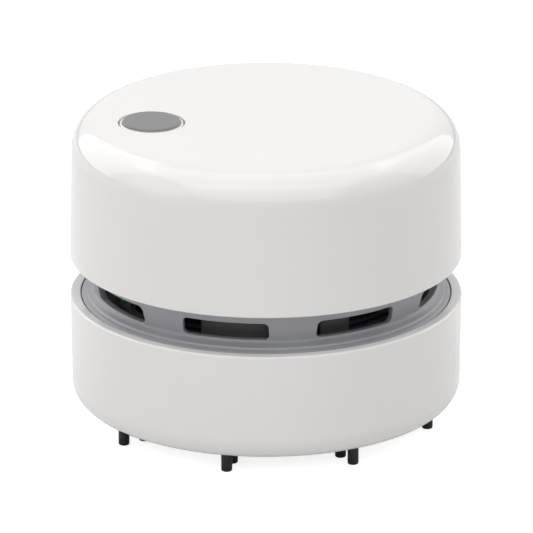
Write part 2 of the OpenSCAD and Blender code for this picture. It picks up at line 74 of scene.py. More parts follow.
def grid_faces(rows, columns, rows_join, columns_join):
    """Quads of a grid of points numbered row after row. A direction that joins runs back to its start."""
    r, c = np.meshgrid(np.arange(rows if rows_join else rows - 1),
                       np.arange(columns if columns_join else columns - 1), indexing="ij")
    below, beside = (r + 1) % rows, (c + 1) % columns
    quads = [r * columns + c, below * columns + c, below * columns + beside, r * columns + beside]
    return np.stack(quads, -1).reshape(-1, 4)


def turned(outline, columns=192, axis=(0, 0)):
    """Surface of revolution: the point at turn a and outline place (r, z) is
    axis + (r cos a, r sin a, z)."""
    a = np.linspace(0, 2 * np.pi, columns, endpoint=False)
    r, z = outline[:, :1], outline[:, 1:]
    points = np.stack([axis[0] + r * np.cos(a), axis[1] + r * np.sin(a), z + 0 * a], -1)
    return points.reshape(-1, 3), grid_faces(len(outline), columns, True, True)


def block(low, high, edge=0.2, turn=0.0):
    """Box with rounded edges: a small ball whose eight parts are pushed apart to the box's corners,
    and the whole turned about the Z axis by turn degrees."""
    low, high = np.array(low, float), np.array(high, float)
    quarter = np.radians([0, 30, 60, 90])
    a = np.concatenate([q * np.pi / 2 + quarter for q in range(4)])
    a_sign = np.repeat([[1, 1], [-1, 1], [-1, -1], [1, -1]], 4, axis=0)
    e = np.concatenate([quarter - np.pi / 2, quarter])
    e_sign = np.repeat([-1, 1], 4)
    ball = np.stack([np.cos(e)[:, None] * np.cos(a), np.cos(e)[:, None] * np.sin(a),
                     np.sin(e)[:, None] + 0 * a], -1)
    sign = np.stack([a_sign[:, 0] + 0 * e[:, None], a_sign[:, 1] + 0 * e[:, None],
                     e_sign[:, None] + 0 * a], -1)
    points = (low + high) / 2 + sign * ((high - low) / 2 - edge) + ball * edge
    points = points.reshape(-1, 3)
    c, s = math.cos(math.radians(turn)), math.sin(math.radians(turn))
    points = points @ np.array([[c, s, 0], [-s, c, 0], [0, 0, 1]])
    faces = grid_faces(8, 16, False, True)
    last = 7 * 16
    caps = np.array([[0, 4, 8, 12], [last, last + 4, last + 8, last + 12]])
    return points, np.concatenate([faces, caps])


def arc_block(outline, start, end, columns=12):
    """Outline (r, z) carried round the Z axis from one angle to another, with both ends closed."""
    a = np.radians(np.linspace(start, end, columns))
    r, z = outline[:, :1], outline[:, 1:]
    points = np.stack([r * np.cos(a), r * np.sin(a), z + 0 * a], -1)
    rows = len(outline)
    faces = grid_faces(rows, columns, True, False)
    centre = np.array([[outline[:, 0].mean() * np.cos(t), outline[:, 0].mean() * np.sin(t),
                        outline[:, 1].mean()] for t in (a[0], a[-1])])
    first = np.arange(rows) * columns
    ends = [np.stack([line, np.roll(line, -1), np.full(rows, rows * columns + k),
                      np.full(rows, rows * columns + k)], 1)
            for k, line in enumerate((first, first + columns - 1))]
    ends[1] = ends[1][:, ::-1]
    return np.concatenate([points.reshape(-1, 3), centre]), np.concatenate([faces, *ends])


def as_piece(name, surfaces, material, body, replaced=()):
    """One object from closed surfaces in millimetres. Points that meet are joined, quads that shrink to
    a line at a pole are dropped, and each surface is turned so that its volume is positive. Edges
    where the surface bends by more than 38 degrees stay sharp."""
    all_points, loops, starts, used = [], [], [], 0
    for points, faces in surfaces:
        points, where = np.unique(np.round(points * 1e-3, 8), axis=0, return_inverse=True)
        faces = where.reshape(-1)[faces]
        p = points[faces]
        volume = (np.cross(p[:, 1] - p[:, 0], p[:, 2] - p[:, 0]) * p[:, 0]).sum()
        volume += (np.cross(p[:, 2] - p[:, 0], p[:, 3] - p[:, 0]) * p[:, 0]).sum()
        if volume < 0:
            faces = faces[:, ::-1]
        keep = faces != np.roll(faces, 1, axis=1)
        keep[(faces[:, 0] == faces[:, 2]) | (faces[:, 1] == faces[:, 3])] = False
        keep[keep.sum(1) < 3] = False
        counts = keep.sum(1)
        counts = counts[counts > 0]
        loops.append((faces + used)[keep])
        starts.append(counts)
        all_points.append(points)
        used += len(points)
    points, loops, counts = np.concatenate(all_points), np.concatenate(loops), np.concatenate(starts)
    mesh = bpy.data.meshes.new(name)
    mesh.vertices.add(len(points))
    mesh.vertices.foreach_set("co", points.astype(np.float32).ravel())
    mesh.loops.add(len(loops))
    mesh.loops.foreach_set("vertex_index", loops.astype(np.int32))
    mesh.polygons.add(len(counts))
    mesh.polygons.foreach_set("loop_start", (np.cumsum(counts) - counts).astype(np.int32))
    mesh.update(calc_edges=True)
    mesh.validate()
    mesh.polygons.foreach_set("use_smooth", np.ones(len(mesh.polygons), bool))
    mesh.set_sharp_from_angle(angle=math.radians(38))
    piece = bpy.data.objects.new(name, mesh)
    bpy.context.scene.collection.objects.link(piece)
    mesh.materials.append(material)
    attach(piece, body)
    if replaced:
        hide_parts(*replaced)
    return piece


def grain_group():
    """Node group: fine moulded grain and slow unevenness, both from noise on the given vector.
    Fine is the height of the grain, Slow drifts over centimetres, and Speck marks rare small spots."""
    group = bpy.data.node_groups.new("moulded_grain", "ShaderNodeTree")
    group.interface.new_socket("Vector", in_out="INPUT", socket_type="NodeSocketVector")
    for name in ("Grain Scale", "Drift Scale"):
        group.interface.new_socket(name, in_out="INPUT", socket_type="NodeSocketFloat")
    for name in ("Fine", "Slow", "Speck"):
        group.interface.new_socket(name, in_out="OUTPUT", socket_type="NodeSocketFloat")
    add = group.nodes.new
    enter, leave = add("NodeGroupInput"), add("NodeGroupOutput")
    fine, slow, spot = (add("ShaderNodeTexNoise") for _ in range(3))
    fine.inputs["Detail"].default_value = 3
    slow.inputs["Detail"].default_value = 4
    spot.inputs["Detail"].default_value = 1
    ramp = add("ShaderNodeMapRange")
    ramp.inputs["From Min"].default_value, ramp.inputs["From Max"].default_value = 0.70, 0.78
    times = add("ShaderNodeMath")
    times.operation = "MULTIPLY"
    times.inputs[1].default_value = 0.2
    link = group.links.new
    link(enter.outputs["Vector"], fine.inputs["Vector"])
    link(enter.outputs["Vector"], slow.inputs["Vector"])
    link(enter.outputs["Vector"], spot.inputs["Vector"])
    link(enter.outputs["Grain Scale"], fine.inputs["Scale"])
    link(enter.outputs["Drift Scale"], slow.inputs["Scale"])
    link(enter.outputs["Grain Scale"], times.inputs[0])
    link(times.outputs[0], spot.inputs["Scale"])
    link(spot.outputs["Fac"], ramp.inputs["Value"])
    link(fine.outputs["Fac"], leave.inputs["Fine"])
    link(slow.outputs["Fac"], leave.inputs["Slow"])
    link(ramp.outputs["Result"], leave.inputs["Speck"])
    return group


moulded_grain = grain_group()


def finish_of(name, colour, second, roughness, spread=0.06, grain=4000, depth=4e-6, drift=60,
              speck=0.1, metal=0.0, stretch=(1, 1, 1), ior=1.5):
    """A Principled finish whose colour drifts between two tones, whose roughness varies by spread,
    and whose surface has grain of the given depth. stretch draws the grain out along an axis."""
    material = bpy.data.materials.new(name)
    material.use_nodes = True
    tree = material.node_tree
    shader = tree.nodes["Principled BSDF"]
    shader.inputs["Metallic"].default_value = metal
    shader.inputs["IOR"].default_value = ior
    add, link = tree.nodes.new, tree.links.new
    where, mapping = add("ShaderNodeTexCoord"), add("ShaderNodeMapping")
    mapping.inputs["Scale"].default_value = stretch
    group = add("ShaderNodeGroup")
    group.node_tree = moulded_grain
    group.inputs["Grain Scale"].default_value = grain
    group.inputs["Drift Scale"].default_value = drift
    link(where.outputs["Object"], mapping.inputs["Vector"])
    link(mapping.outputs["Vector"], group.inputs["Vector"])
    tone = add("ShaderNodeMix")
    tone.data_type = "RGBA"
    tone.inputs[6].default_value = (*colour, 1)
    tone.inputs[7].default_value = (*second, 1)
    amount = add("ShaderNodeMath")
    amount.operation = "MULTIPLY_ADD"
    amount.use_clamp = True
    amount.inputs[1].default_value = speck
    link(group.outputs["Speck"], amount.inputs[0])
    link(group.outputs["Slow"], amount.inputs[2])
    link(amount.outputs[0], tone.inputs[0])
    link(tone.outputs[2], shader.inputs["Base Color"])
    rough = add("ShaderNodeMapRange")
    rough.inputs["To Min"].default_value = roughness - spread
    rough.inputs["To Max"].default_value = roughness + spread
    link(group.outputs["Slow"], rough.inputs["Value"])
    link(rough.outputs["Result"], shader.inputs["Roughness"])
    bump = add("ShaderNodeBump")
    bump.inputs["Strength"].default_value = 1
    bump.inputs["Distance"].default_value = depth
    link(group.outputs["Fine"], bump.inputs["Height"])
    link(bump.outputs["Normal"], shader.inputs["Normal"])
    return material


def dress(name, material):
    """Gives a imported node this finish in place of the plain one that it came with."""
    mesh = nodes[name].data
    if len(mesh.materials) == 0:
        mesh.materials.append(material)
    for k in range(len(mesh.materials)):
        mesh.materials[k] = material


white_gloss = finish_of("white_gloss", (0.805, 0.790, 0.771), (0.825, 0.810, 0.791), 0.08, 0.02,
                        grain=900, depth=1.2e-6, drift=40, speck=0.0)

# The sizes of all pieces are in millimetres, which as_piece turns into metres.
body_r, cup_foot_r, mouth_r, cup_in_r, inlet_r, chimney_r = 42.5, 42.055, 40.25, 39.6, 11.0, 12.8
cup_z, floor_z, chimney_z, seat_z, rim_z = 4.2, 6.2, 14.0, 26.6, 28.6
eighth = 45.0       # degrees from one rib, row of pins or slot to the next
cup_outline = rounded([
    (inlet_r, cup_z, 0.5), (cup_foot_r, cup_z, 5.2), (body_r, rim_z, 0.5), (mouth_r, rim_z, 0.15),
    (mouth_r, seat_z, 0.0), (cup_in_r, seat_z, 0.1), (cup_in_r, floor_z, 3.0),
    (chimney_r, floor_z, 0.5), (chimney_r, chimney_z, 0.4), (inlet_r, chimney_z, 0.5)], 12)
rib_half, rib_top_z = 0.7, 17.0
cup_ribs = [block((36.5, -rib_half, floor_z - 0.5), (40.1, rib_half, rib_top_z), 0.2, eighth * (k + 0.5))
            for k in range(8)]
lug_half_turn, (lug_in_r, lug_out_r), (lug_z, lug_top_z) = 3, (38.5, 40.1), (23.0, 24.6)
lug_outline = rounded([(lug_in_r, lug_z, 0.2), (lug_out_r, lug_z, 0.0),
                       (lug_out_r, lug_top_z, 0.0), (lug_in_r, lug_top_z, 0.2)], 3)
cup_lugs = [arc_block(lug_outline, 90 * k - lug_half_turn, 90 * k + lug_half_turn) for k in range(4)]
as_piece("cup_body", [turned(cup_outline, 256), *cup_ribs, *cup_lugs], white_gloss, "cup",
         ["dust_cup"])


# ---------------------------------------------------------------------------
# Bristle pins
# Eight radial rows of three black nylon pins pressed into blind sockets of the cup's floor.
# Their free ends are rounded over and stand on the table.

pin_black = finish_of("pin_black", (0.010, 0.010, 0.011), (0.018, 0.018, 0.019), 0.30, 0.06,
                      grain=2600, depth=6e-6, drift=300, stretch=(1, 1, 0.12), ior=1.36)
pin_r, pin_top_z = 1.2, 5.4
pin_outline = rounded([(0, 0, 0), (pin_r, 0, 0.35), (pin_r, pin_top_z, 0), (0, pin_top_z, 0)], 5)
pin_turns = [math.radians(eighth * (k + 0.5)) for k in range(8)]
for ring_name, ring_r in (("outer", 36.0), ("middle", 30.85), ("inner", 25.7)):
    places = [(ring_r * math.cos(t), ring_r * math.sin(t)) for t in pin_turns]
    as_piece("bristles_" + ring_name, [turned(pin_outline, 32, place) for place in places], pin_black,
             "cup", ["pins_" + ring_name])


# ---------------------------------------------------------------------------
# Filter
# A woven nylon mesh disc welded under a light grey spoked frame with a pull knob, and the soft
# silicone ring that seals the frame against the spigot above.

def weave_of(name, thread, gap, pitch):
    """Woven cloth on Object coordinates: two sine waves at right angles, the higher of them on top."""
    material = bpy.data.materials.new(name)
    material.use_nodes = True
    tree = material.node_tree
    shader = tree.nodes["Principled BSDF"]
    shader.inputs["Roughness"].default_value = 0.7
    add, link = tree.nodes.new, tree.links.new
    where, apart = add("ShaderNodeTexCoord"), add("ShaderNodeSeparateXYZ")
    link(where.outputs["Object"], apart.inputs[0])
    waves = []
    for axis in (0, 1):
        scaled, wave = add("ShaderNodeMath"), add("ShaderNodeMath")
        scaled.operation, wave.operation = "MULTIPLY", "SINE"
        scaled.inputs[1].default_value = 2 * math.pi / pitch
        link(apart.outputs[axis], scaled.inputs[0])
        link(scaled.outputs[0], wave.inputs[0])
        waves.append(wave)
    top = add("ShaderNodeMath")
    top.operation = "MAXIMUM"
    link(waves[0].outputs[0], top.inputs[0])
    link(waves[1].outputs[0], top.inputs[1])
    mask = add("ShaderNodeMapRange")
    mask.inputs["From Min"].default_value, mask.inputs["From Max"].default_value = -0.2, 0.7
    link(top.outputs[0], mask.inputs["Value"])
    dust = add("ShaderNodeTexNoise")
    dust.inputs["Scale"].default_value = 220
    link(where.outputs["Object"], dust.inputs["Vector"])
    cloth, dusty = add("ShaderNodeMix"), add("ShaderNodeMix")
    cloth.data_type = dusty.data_type = "RGBA"
    cloth.inputs[6].default_value, cloth.inputs[7].default_value = (*gap, 1), (*thread, 1)
    link(mask.outputs["Result"], cloth.inputs[0])
    veil = add("ShaderNodeMapRange")
    veil.inputs["From Min"].default_value, veil.inputs["From Max"].default_value = 0.45, 0.8
    veil.inputs["To Max"].default_value = 0.35
    link(dust.outputs["Fac"], veil.inputs["Value"])
    link(veil.outputs["Result"], dusty.inputs[0])
    link(cloth.outputs[2], dusty.inputs[6])
    dusty.inputs[7].default_value = (0.32, 0.30, 0.27, 1)
    link(dusty.outputs[2], shader.inputs["Base Color"])
    bump = add("ShaderNodeBump")
    bump.inputs["Distance"].default_value = 6e-5
    link(mask.outputs["Result"], bump.inputs["Height"])
    link(bump.outputs["Normal"], shader.inputs["Normal"])
    return material


dress("filter_mesh", weave_of("filter_cloth", (0.16, 0.16, 0.17), (0.01, 0.01, 0.01), 0.0006))
dress("filter_frame", finish_of("filter_plastic", (0.60, 0.60, 0.58), (0.54, 0.54, 0.52), 0.42))
dress("cup_seal", finish_of("seal_rubber", (0.05, 0.05, 0.053), (0.10, 0.10, 0.10), 0.75, 0.08,
                            grain=1500, depth=8e-6, drift=200, speck=0.3))


# ---------------------------------------------------------------------------
# Exhaust ring
# One satin grey ABS moulding: a spigot with four bayonet grooves, the flange with its bead that sits
# in the cup's rim, and the wall with eight rounded slots, which leans out towards the white cap.

ring_satin = finish_of("ring_satin", (0.32, 0.325, 0.35), (0.345, 0.35, 0.375), 0.36, 0.05,
                       grain=5000, depth=5e-6, drift=90, speck=0.15)

cove_r, wall_foot_r, ring_in_r, spigot_r, flange_r = 38.6, 37.3, 35.7, 39.3, 40.0
spigot_z, cove_z, wall_foot_z, ring_top_z = 21.0, 29.4, 30.5, 39.4
wall_lean = 2.2 / (ring_top_z - wall_foot_z)
groove_z, groove_top_z, groove_r = 22.7, 24.9, 38.2


def ring_outer_r(z):
    """Radius of the ring outside: a cove that runs steeper and steeper from the bead to the wall's
    foot, cove_r - drop (1 - (1 - lift)^1.7), then a straight wall that leans out."""
    lift = np.clip((z - cove_z) / (wall_foot_z - cove_z), 0, 1)
    cove = cove_r - (cove_r - wall_foot_r) * (1 - (1 - lift) ** 1.7)
    return np.where(z < wall_foot_z, cove, wall_foot_r + wall_lean * (z - wall_foot_z))


def ring_inner_r(z):
    """Radius of the ring inside, a wall's thickness in from the leaning part and upright below it."""
    return ring_in_r + wall_lean * np.clip(z - wall_foot_z, 0, None)


def ring_turns():
    """Turns that every row of the ring shares, in degrees from a slot's middle, with a close pair of
    lines at each side of the bayonet grooves."""
    pairs = np.array([[-18.52, -18.48], [0.48, 0.52], [18.48, 18.52]]).ravel()
    return np.unique(np.concatenate([np.linspace(-eighth / 2, eighth / 2, 29), pairs]))


def slotted_sector(low, high, edge=0.2):
    """One eighth of the slotted wall. Lines run straight from the sector's border to the nearest point
    of the slot's rounded outline, over a quarter-round edge, through the wall, and back inside."""
    turns = np.radians(ring_turns())
    rise = np.linspace(low, high, 11)
    angle = np.concatenate([turns, np.full(9, turns[-1]), turns[::-1], np.full(9, turns[0])])
    height = np.concatenate([np.full(len(turns), low), rise[1:-1], np.full(len(turns), high),
                             rise[1:-1][::-1]])
    middle, core, corner = np.array([0, 32.7]), np.array([8.35, 0.9]), 1.1     # the slot, 18.9 by 4
    border = np.stack([ring_outer_r(height) * np.sin(angle), height], 1)
    nearest = middle + np.clip(border - middle, -core, core)
    out = border - nearest
    out /= np.linalg.norm(out, axis=1, keepdims=True)
    rim = nearest + out * corner
    rows = []
    for s in np.linspace(0, 1, 9) ** 0.8:
        flat = border * (1 - s) + (rim + out * edge) * s
        rows.append((flat, ring_outer_r(flat[:, 1])))
    for a in np.radians([22.5, 45, 67.5, 90]):
        flat = rim + out * edge * (1 - math.sin(a))
        rows.append((flat, ring_outer_r(flat[:, 1]) - edge * (1 - math.cos(a))))
    for a in np.radians([90, 60, 30, 0]):
        flat = rim + out * edge * (1 - math.sin(a))
        rows.append((flat, ring_inner_r(flat[:, 1]) + edge * (1 - math.cos(a))))
    inner = np.stack([ring_inner_r(height) * np.sin(angle), height], 1)
    for s in (0.35, 0.7, 1.0):
        flat = (rim + out * edge) * (1 - s) + inner * s
        rows.append((flat, ring_inner_r(flat[:, 1])))
    y = np.array([flat[:, 0] for flat, _ in rows])
    z = np.array([flat[:, 1] for flat, _ in rows])
    r = np.array([radius for _, radius in rows])
    return np.stack([np.sqrt(r * r - y * y), y, z], -1)


def ring_rest(outline):
    """The ring below or above the slotted band, as an open outline (r, z) carried round. In the
    spigot the radius drops to the floor of a bayonet groove between that groove's sides."""
    turn = (ring_turns()[:-1] + eighth * (np.arange(8)[:, None] + 0.5)).ravel()
    r = outline[:, :1] + 0 * turn
    z = outline[:, 1:] + 0 * turn
    around = (turn + 45) % 90 - 45
    entry = (np.abs(around) < 4) & (z < groove_top_z)
    locking = (around > -22) & (around < 4) & (z > groove_z) & (z < groove_top_z)
    r = np.where((r > groove_r + 0.3) & (entry | locking), groove_r, r)
    a = np.radians(turn)
    return np.stack([r * np.cos(a), r * np.sin(a), z], -1)


def grey_ring():
    """All of the ring's wall as one surface: eight slotted sectors and what lies below and above them."""
    low, high = 30.0, 39.2      # the slotted band
    patches = []
    sector = slotted_sector(low, high)
    for k in range(8):
        t = math.radians(eighth * (k + 0.5))
        c, s = math.cos(t), math.sin(t)
        patches.append(sector @ np.array([[c, s, 0], [-s, c, 0], [0, 0, 1]]))
    bead = rounded([(39.8, rim_z, 0), (38.9, 28.98, 0.15), (38.62, 29.38, 0.16), (38.2, 29.6, 0)], 5, 0.03)
    bead = bead[(bead[:, 1] > 28.61) & (bead[:, 1] < 29.45)]
    rise = np.linspace(29.5, low, 6)
    cove = np.stack([ring_outer_r(rise), rise], 1)
    inside = [[ring_in_r, low], [ring_in_r, 27.06], [ring_in_r, 27.0], [34.2, 27.0], [34.2, 26.2],
              [ring_in_r, 24.7], [ring_in_r, spigot_z], [38.1, spigot_z]]
    spigot = [[spigot_r, z] for z in (spigot_z, groove_z - 0.01, groove_z + 0.01, groove_top_z - 0.01,
                                      groove_top_z + 0.01, seat_z)]
    flange = [[flange_r - 0.06, seat_z], [flange_r, seat_z + 0.06], [flange_r, 28.4], [39.97, 28.5],
              [39.9, 28.57]]
    below = np.concatenate([inside, spigot, flange, bead, cove])
    above = np.array([
        [ring_outer_r(np.array(high)), high], [39.46, 39.3], [39.38, 39.38], [39.3, ring_top_z],
        [38.1, ring_top_z], [37.98, 39.38], [37.9, 39.3], [ring_inner_r(np.array(high)), high]])
    patches += [ring_rest(below), ring_rest(above)]
    points, faces, used = [], [], 0
    for patch in patches:
        rows, columns = patch.shape[:2]
        points.append(patch.reshape(-1, 3))
        faces.append(grid_faces(rows, columns, False, True) + used)
        used += rows * columns
    for k in (8, 9):        # the two outlines run the other way round than the sectors
        faces[k] = faces[k][:, ::-1]
    return np.concatenate(points), np.concatenate(faces)


def ring_boss(azimuth):
    """Upright screw boss of radius 2.2 behind a post, cut to a radius half a millimetre inside the wall."""
    a = math.radians(azimuth)
    boss_r, boss_at_r, boss_z, boss_top_z = 2.2, 35.33, 28.75, ring_top_z - 0.02
    outline = rounded([(0, boss_z, 0), (boss_r, boss_z, 0.3),
                       (boss_r, boss_top_z, 0.1), (0, boss_top_z, 0)], 4)
    points, faces = turned(outline, 32, (boss_at_r * math.cos(a), boss_at_r * math.sin(a)))
    radius = np.hypot(points[:, 0], points[:, 1])
    points[:, :2] *= np.minimum(1, (ring_inner_r(points[:, 2]) + 0.5) / radius)[:, None]
    return points, faces


as_piece("slotted_ring", [grey_ring(), *(ring_boss(45 + 90 * k) for k in range(4))], ring_satin,
         "motor_unit", ["exhaust_ring"])


# ---------------------------------------------------------------------------
# Fan
# A spun fan in dark glass-filled plastic: the cover with its guarded eye, the housing with windows
# behind the slots, and the closed impeller with nine swept blades.

fan_dark = finish_of("fan_dark", (0.040, 0.042, 0.045), (0.055, 0.057, 0.06), 0.55, 0.06,
                     grain=3500, depth=1e-5, drift=120, speck=0.2)
housing_grey = finish_of("housing_grey", (0.085, 0.086, 0.09), (0.12, 0.121, 0.126), 0.5, 0.06,
                         grain=3500, depth=1e-5, drift=120, speck=0.2)
dress("fan_cover", fan_dark)
dress("fan_housing", housing_grey)
dress("impeller", fan_dark)


# ---------------------------------------------------------------------------
# Motor
# A 24 mm brushed direct-current motor: zinc plated can, two ferrite magnets, a three-slot armature
# on a ground steel shaft between sintered bushes, and a plastic end cap with two tabs.

motor_steel = finish_of("motor_steel", (0.56, 0.56, 0.55), (0.47, 0.47, 0.46), 0.34, 0.08,
                        grain=2200, depth=3e-6, drift=150, metal=1.0, stretch=(1, 1, 0.1))
screw_steel = finish_of("screw_steel", (0.60, 0.60, 0.59), (0.50, 0.50, 0.49), 0.26, 0.06,
                        grain=3000, depth=3e-6, drift=500, metal=1.0)
bronze = finish_of("bush_bronze", (0.52, 0.36, 0.17), (0.40, 0.27, 0.12), 0.45, 0.08,
                   grain=6000, depth=1e-5, drift=900, metal=1.0, speck=0.5)
ferrite = finish_of("magnet_dark", (0.055, 0.055, 0.06), (0.08, 0.08, 0.083), 0.62, 0.08,
                    grain=5000, depth=1e-5, drift=400, speck=0.4)
nickel = finish_of("contact_nickel", (0.63, 0.61, 0.56), (0.55, 0.53, 0.48), 0.28, 0.07,
                   grain=2500, depth=3e-6, drift=300, metal=1.0)
off_white = finish_of("chassis_plastic", (0.66, 0.66, 0.63), (0.61, 0.61, 0.58), 0.4, 0.05,
                      grain=3500, depth=6e-6, drift=80, speck=0.1)
dress("motor_can", motor_steel)
dress("motor_end_cap", off_white)
dress("motor_magnets", ferrite)
dress("armature", finish_of("copper_wound", (0.55, 0.22, 0.07), (0.40, 0.15, 0.05), 0.35, 0.08,
                            grain=2500, depth=2e-5, drift=500, metal=1.0, stretch=(1, 1, 4)))
dress("motor_shaft", screw_steel)
dress("front_bush", bronze)
dress("rear_bush", bronze)
dress("motor_terminals", nickel)
dress("motor_screws", screw_steel)


# ---------------------------------------------------------------------------
# Chassis
# An off-white moulded plate screwed on the ring's bosses. Cradles and end walls hold the two cells,
# and a rail stands the circuit board upright.

dress("chassis", off_white)
dress("chassis_screws", screw_steel)


# ---------------------------------------------------------------------------
# Cells and contacts
# Two 14.5 by 50.5 mm cells in a plain film, nickel contact plates on the end walls and a conical
# spring at each negative end.

cell_x, cell_z, cell_end_y, contact_y = 20, 49.2, 25.25, 27.2


def laid(surface, place, way):
    """A surface made about the Z axis, laid down so that its axis runs along Y, +Z to the side way."""
    x, y, z = surface[0].T
    return np.stack([place[0] + x, place[1] + way * z, place[2] - way * y], 1), surface[1]


def banded_film():
    """Shrunk film in two tones: a pale band at the positive end of each cell, parted from the rest by a
    thin dark line. The sign of x times y tells how far a point lies towards its own cell's positive end."""
    material = finish_of("cell_wrap", (0.045, 0.15, 0.13), (0.055, 0.18, 0.15), 0.22, 0.04,
                         grain=1400, depth=4e-6)
    tree = material.node_tree
    add, link = tree.nodes.new, tree.links.new
    where, apart, side, along = (add("ShaderNode" + kind) for kind in (
        "TexCoord", "SeparateXYZ", "Math", "Math"))
    side.operation, along.operation = "SIGN", "MULTIPLY"
    link(where.outputs["Object"], apart.inputs[0])
    link(apart.outputs["X"], side.inputs[0])
    link(side.outputs[0], along.inputs[0])
    link(apart.outputs["Y"], along.inputs[1])
    shader = tree.nodes["Principled BSDF"]
    under = shader.inputs["Base Color"].links[0].from_socket
    line_from, band_from = 0.0136, 0.0141       # metres from the cell's middle
    for low, colour in ((line_from, (0.02, 0.03, 0.03, 1)), (band_from, (0.42, 0.44, 0.43, 1))):
        band, tone = add("ShaderNodeMath"), add("ShaderNodeMix")
        band.operation = "GREATER_THAN"
        band.inputs[1].default_value = low
        tone.data_type = "RGBA"
        tone.inputs[7].default_value = colour
        link(along.outputs[0], band.inputs[0])
        link(band.outputs[0], tone.inputs[0])
        link(under, tone.inputs[6])
        under = tone.outputs[2]
    link(under, shader.inputs["Base Color"])
    return material


def spring_of(side):
    """Conical spring: at the share t of its turns the wire's centre is at radius wide - (wide - narrow) t
    and height wire_r + rise t. The wire's own radius shrinks roundly to nothing at both ends."""
    steps, sides, turns, wire_r = 240, 10, 3.5, 0.3
    wide, narrow, rise = 4.2, 1.6, 1.25
    t = np.linspace(0, 1, steps)[:, None]
    around = np.linspace(0, 2 * np.pi, sides, endpoint=False)
    wire = wire_r * np.sqrt(np.clip(1 - (1 - np.minimum(t, 1 - t) * 150).clip(0, 1) ** 2, 0, 1))
    r = wide - (wide - narrow) * t + wire * np.cos(around)
    turn = 2 * np.pi * turns * t
    points = np.stack([r * np.cos(turn), r * np.sin(turn), wire_r + rise * t + wire * np.sin(around)], -1)
    surface = points.reshape(-1, 3), grid_faces(steps, sides, False, True)
    return laid(surface, (cell_x * side, -contact_y * side, cell_z), side)


film_outline = rounded([
    (5.3, 1.3, 0.05), (5.3, 1.02, 0.08), (7.25, 1.02, 0.7), (7.25, 50.48, 0.5), (6.1, 50.48, 0.08),
    (6.1, 50.3, 0.05), (7.05, 50.3, 0.3), (7.05, 1.3, 0.4)], 6)
steel_outline = rounded([
    (0, 0.02, 0), (2.75, 0.02, 0.45), (2.75, 1.2, 0.2), (6.9, 1.2, 0.1), (6.9, 50.4, 0.2), (0, 50.4, 0)], 6)
bump_outline = rounded([(0, 0, 0), (2.2, 0, 0.1), (2.2, 1.85, 0.7), (0, 1.85, 0)], 6)
cell_film = banded_film()
for side, side_name in ((-1, "left"), (1, "right")):
    end = (cell_x * side, cell_end_y * side, cell_z)
    as_piece("film_" + side_name, [laid(turned(film_outline, 96), end, -side)], cell_film,
             "motor_unit", ["cell_" + side_name])
    as_piece("steel_" + side_name, [laid(turned(steel_outline, 96), end, -side)], nickel,
             "motor_unit")
plate_half, plate_t = (4, 4.5), 0.4
plates = [block((cell_x * side - plate_half[0], low, cell_z - plate_half[1]),
                (cell_x * side + plate_half[0], low + plate_t, cell_z + plate_half[1]), 0.12)
          for side in (-1, 1) for low in (-contact_y - plate_t, contact_y)]
bumps = [laid(turned(bump_outline, 48), (cell_x * side, contact_y * side, cell_z), -side)
         for side in (-1, 1)]
as_piece("contact_plates", [*plates, *bumps], nickel, "motor_unit", ["battery_contacts"])
as_piece("wound_springs", [spring_of(-1), spring_of(1)], nickel, "motor_unit", ["battery_springs"])


# ---------------------------------------------------------------------------
# Circuit board and switch
# A green glass-fibre board stands in the chassis rail and carries the push switch, whose plunger
# the white button presses.

def board_mask():
    """Green solder mask over copper: the joints of a brick pattern across the board are its tracks,
    a shade lighter."""
    material = finish_of("board_green", (0.012, 0.17, 0.035), (0.016, 0.20, 0.045), 0.3, 0.05,
                         grain=2500, depth=4e-6, drift=300)
    tree = material.node_tree
    add, link = tree.nodes.new, tree.links.new
    where, apart, flat, brick, tone = (add("ShaderNode" + kind) for kind in (
        "TexCoord", "SeparateXYZ", "CombineXYZ", "TexBrick", "Mix"))
    link(where.outputs["Object"], apart.inputs[0])
    link(apart.outputs["Y"], flat.inputs["X"])
    link(apart.outputs["Z"], flat.inputs["Y"])
    link(flat.outputs[0], brick.inputs["Vector"])
    for name, value in (("Scale", 1), ("Mortar Size", 0.0002), ("Brick Width", 0.0055),
                        ("Row Height", 0.0019)):
        brick.inputs[name].default_value = value
    shader = tree.nodes["Principled BSDF"]
    tone.data_type = "RGBA"
    tone.inputs[7].default_value = (0.02, 0.235, 0.055, 1)
    link(brick.outputs["Fac"], tone.inputs[0])
    link(shader.inputs["Base Color"].links[0].from_socket, tone.inputs[6])
    link(tone.outputs[2], shader.inputs["Base Color"])
    return material


board_out_x, board_in_x, board_half, board_z, board_top_z = -33, -32, 10.5, 44, 61.6
tab_w, tab_z = 1.7, 31.3
as_piece("board_panel",
         [block((board_out_x, -board_half, board_z), (board_in_x, board_half, board_top_z), 0.08),
          block((board_out_x, -board_half, tab_z), (board_in_x, tab_w - board_half, board_z + 0.2), 0.08)],
         board_mask(), "motor_unit", ["circuit_board"])
chips = [block((board_in_x - 0.05, y, z), (board_in_x + high, y + wide, z + tall), 0.1)
         for y, z, wide, tall, high in ((5.6, 57.6, 1.6, 3.0, 1.1), (-8.2, 58.3, 1.3, 2.2, 0.6),
                                        (-8.2, 54.6, 1.3, 2.2, 0.6), (5.9, 52.6, 2.4, 3.2, 1.3))]
as_piece("board_chips", chips, finish_of("chip_black", (0.02, 0.02, 0.021), (0.03, 0.03, 0.031), 0.45),
         "motor_unit")
solder_outline = rounded([(0, 0, 0), (0.9, 0, 0.02), (0.35, 0.75, 0.2), (0, 0.8, 0)], 4)
solder = []
for y, z in ((-3, 58.6), (3, 58.6), (-3, 60.4), (3, 60.4),
             (-9.2, 50.4), (-9.2, 47.6), (9.2, 50.4), (9.2, 47.6)):
    points, faces = turned(solder_outline, 20)
    out = board_out_x + 0.02 - points[:, 2]
    solder.append((np.stack([out, y + points[:, 0], z + points[:, 1]], 1), faces))
